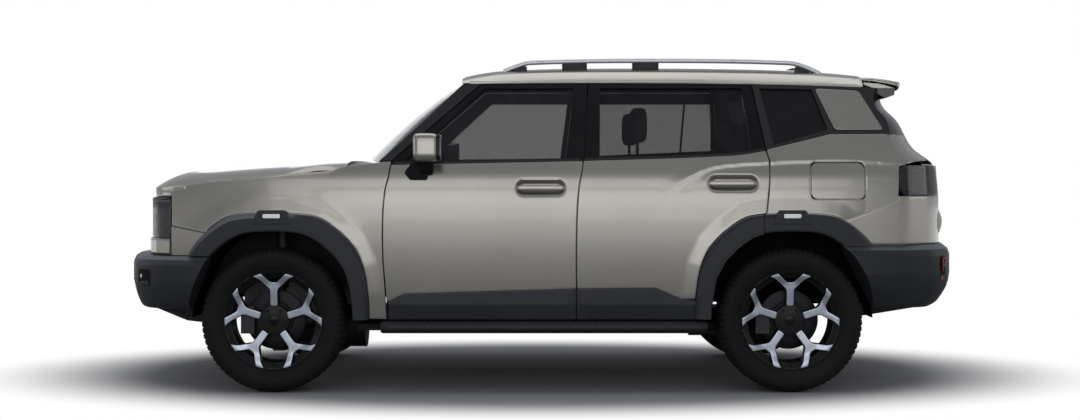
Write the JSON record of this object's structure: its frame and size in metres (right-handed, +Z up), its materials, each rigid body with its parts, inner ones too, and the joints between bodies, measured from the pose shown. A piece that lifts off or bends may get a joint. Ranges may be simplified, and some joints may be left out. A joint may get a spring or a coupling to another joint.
{
  "type": "mid-size off-road 4x4 estate car",
  "caption": "Boxy mid-size off-road estate car with opening doors, hood, tailgate and filler flap, steered and rolling wheels, dark arch flares, roof rails and side steps.",
  "frame": {"origin": "on the ground under the middle of the overall length and width", "axes": "+X forward along the car, +Y to the car's left, +Z up"},
  "size_m": [4.7097, 2.184, 1.845],
  "materials": {
    "body_paint": "satin",
    "dark_plastic": "grained",
    "window_glass": "gloss",
    "lamp_front": "gloss",
    "lamp_rear": "gloss",
    "grille_black": "gloss",
    "tyre_rubber": "matte",
    "wheel_alloy": "machined",
    "chassis_steel": "satin",
    "engine_metal": "cast",
    "exhaust_steel": "satin",
    "cabin_plastic": "grained",
    "seat_fabric": "woven",
    "step_black": "grained"
  },
  "bodies": {
    "body": {"arch_flares": "dark_plastic", "body_sides": "body_paint", "chin_panel": "body_paint", "dashboard": "cabin_plastic", "driveline": "chassis_steel", "engine_bay": "chassis_steel", "engine_block": "engine_metal", "exhaust": "exhaust_steel", "fenders": "body_paint", "fixed_glass": "window_glass", "floor_pan": "chassis_steel", "front_bumper": "dark_plastic", "front_seats": "seat_fabric", "front_suspension": "chassis_steel", "fuel_tank": "dark_plastic", "grille": "grille_black", "headlamps": "lamp_front", "rear_bench": "seat_fabric", "rear_bumper": "dark_plastic", "rear_corner_panels": "body_paint", "rear_suspension": "chassis_steel", "roof_panel": "body_paint", "roof_rails": "body_paint", "side_steps": "step_black", "tail_lamps": "lamp_rear", "wheel_liners": "dark_plastic"},
    "door_front_left": {"door_mirror_left": "body_paint", "front_door_glass_left": "window_glass", "front_door_left": "body_paint"},
    "door_front_right": {"door_mirror_right": "body_paint", "front_door_glass_right": "window_glass", "front_door_right": "body_paint"},
    "fuel_flap_body": {"fuel_flap": "body_paint"},
    "hood_body": {"hood": "body_paint"},
    "steer_left": {"knuckle_left": "chassis_steel"},
    "steer_right": {"knuckle_right": "chassis_steel"},
    "door_rear_left": {"rear_door_glass_left": "window_glass", "rear_door_left": "body_paint"},
    "door_rear_right": {"rear_door_glass_right": "window_glass", "rear_door_right": "body_paint"},
    "steering_wheel_body": {"steering_wheel": "cabin_plastic"},
    "tailgate_body": {"tailgate": "body_paint", "tailgate_glass": "window_glass"},
    "roadwheel_front_left": {"tyre_front_left": "tyre_rubber", "wheel_front_left": "wheel_alloy"},
    "roadwheel_front_right": {"tyre_front_right": "tyre_rubber", "wheel_front_right": "wheel_alloy"},
    "roadwheel_rear_left": {"tyre_rear_left": "tyre_rubber", "wheel_rear_left": "wheel_alloy"},
    "roadwheel_rear_right": {"tyre_rear_right": "tyre_rubber", "wheel_rear_right": "wheel_alloy"}
  },
  "joints": [
    {"name": "door_front_left_hinge", "type": "hinge", "parent": "body", "child": "door_front_left", "pos_m": [0.78312, 0.94208, 0.9], "axis": [0, 0, -1], "range_deg": [0, 68]},
    {"name": "door_front_right_hinge", "type": "hinge", "parent": "body", "child": "door_front_right", "pos_m": [0.78312, -0.94208, 0.9], "axis": [0, 0, 1], "range_deg": [0, 68]},
    {"name": "door_rear_left_hinge", "type": "hinge", "parent": "body", "child": "door_rear_left", "pos_m": [-0.25602, 0.94208, 0.9], "axis": [0, 0, -1], "range_deg": [0, 66]},
    {"name": "door_rear_right_hinge", "type": "hinge", "parent": "body", "child": "door_rear_right", "pos_m": [-0.25602, -0.94208, 0.9], "axis": [0, 0, 1], "range_deg": [0, 66]},
    {"name": "hood_hinge", "type": "hinge", "parent": "body", "child": "hood_body", "pos_m": [1.062, 0, 1.206], "axis": [0, -1, 0], "range_deg": [0, 50]},
    {"name": "tailgate_hinge", "type": "hinge", "parent": "body", "child": "tailgate_body", "pos_m": [-1.83362, 0, 1.73615], "axis": [0, 1, 0], "range_deg": [0, 80]},
    {"name": "fuel_flap_hinge", "type": "hinge", "parent": "body", "child": "fuel_flap_body", "pos_m": [-1.49403, 0.93754, 1.14805], "axis": [0, 0.1649, -0.9863], "range_deg": [0, 90]},
    {"name": "steer_left_turn", "type": "hinge", "parent": "body", "child": "steer_left", "pos_m": [1.433, 0.737, 0.391], "axis": [0, 0, 1], "range_deg": [-33, 33]},
    {"name": "steer_right_turn", "type": "hinge", "parent": "body", "child": "steer_right", "pos_m": [1.433, -0.737, 0.391], "axis": [0, 0, 1], "range_deg": [-33, 33]},
    {"name": "steering_wheel_turn", "type": "hinge", "parent": "body", "child": "steering_wheel_body", "pos_m": [0.35115, 0.37, 1.00553], "axis": [-0.9135, 0, 0.4067], "range_deg": [-480, 480]},
    {"name": "roll_front_left", "type": "hinge", "parent": "steer_left", "child": "roadwheel_front_left", "pos_m": [1.433, 0.815, 0.391], "axis": [0, 1, 0], "continuous": true},
    {"name": "roll_front_right", "type": "hinge", "parent": "steer_right", "child": "roadwheel_front_right", "pos_m": [1.433, -0.815, 0.391], "axis": [0, 1, 0], "continuous": true},
    {"name": "roll_rear_left", "type": "hinge", "parent": "body", "child": "roadwheel_rear_left", "pos_m": [-1.377, 0.815, 0.391], "axis": [0, 1, 0], "continuous": true},
    {"name": "roll_rear_right", "type": "hinge", "parent": "body", "child": "roadwheel_rear_right", "pos_m": [-1.377, -0.815, 0.391], "axis": [0, 1, 0], "continuous": true}
  ],
  "couplings": [
    {"joint": "steer_right_turn", "follows": "steer_left_turn", "ratio": 1},
    {"joint": "steering_wheel_turn", "follows": "steer_left_turn", "ratio": 14.5}
  ]
}
